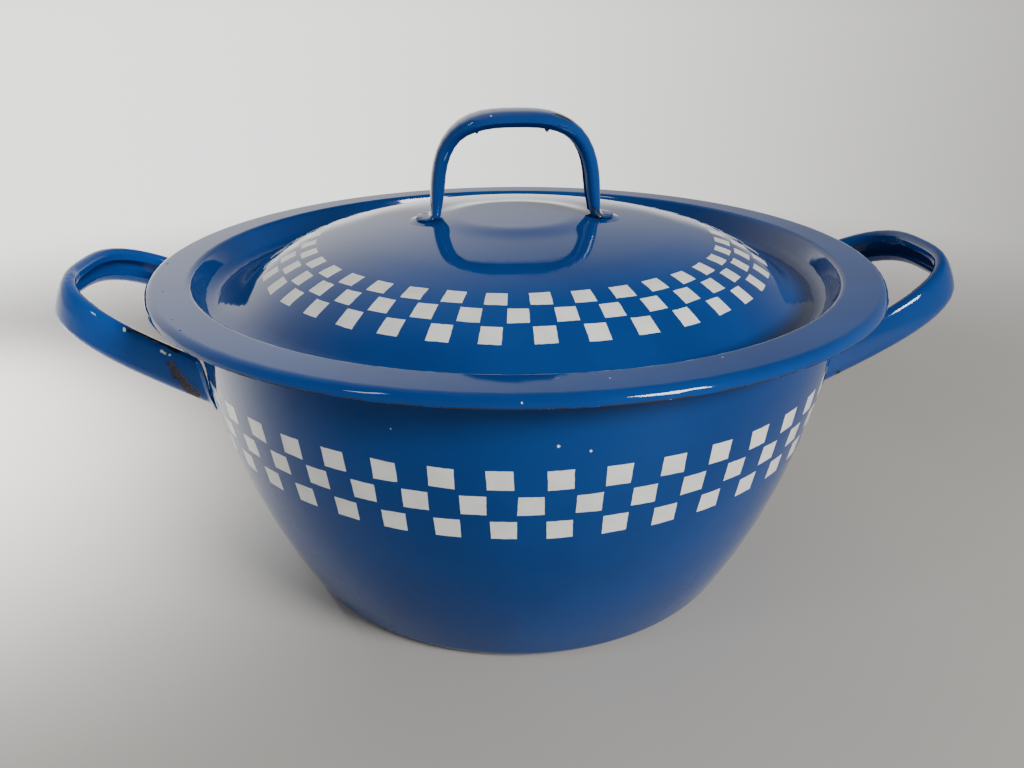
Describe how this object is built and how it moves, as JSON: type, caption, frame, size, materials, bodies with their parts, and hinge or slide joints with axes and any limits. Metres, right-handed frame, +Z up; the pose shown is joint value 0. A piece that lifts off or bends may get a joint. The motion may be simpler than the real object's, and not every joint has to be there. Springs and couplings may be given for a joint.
{
  "type": "covered casserole pot",
  "caption": "Blue enamelled steel casserole: a flared bowl with rising strap loop handles and a loose lid with a hanging groove, a low dome and a strap bow; white check bands on both.",
  "frame": {"origin": "centre of the pot's base, on the plane it stands on", "axes": "+Z up, +X through the two loop handles towards the right one, -Y towards the viewer of the front"},
  "size_m": [0.3446, 0.272, 0.1753],
  "materials": {
    "pot_enamel": "glossy vitreous enamel, mid blue with a band of white checks outside, light grey-white inside; pin holes, chips to the dark ground coat",
    "handle_enamel": "glossy mid-blue vitreous enamel, worn to dark steel along the inner lips and rusty at the weld",
    "lid_enamel": "glossy vitreous enamel, mid blue with a ring of white checks on top, light grey-white beneath",
    "bow_enamel": "glossy deep-blue vitreous enamel, chipped at the feet"
  },
  "bodies": {
    "pot": {"pot_body": "pot_enamel", "handle_left": "handle_enamel", "handle_right": "handle_enamel"},
    "lid": {"lid_shell": "lid_enamel", "lid_handle": "bow_enamel"}
  },
  "joints": [
    {"name": "lid_lift", "type": "slide", "parent": "pot", "child": "lid", "axis": [0, 0, 1], "range_m": [0, 0.16]}
  ]
}
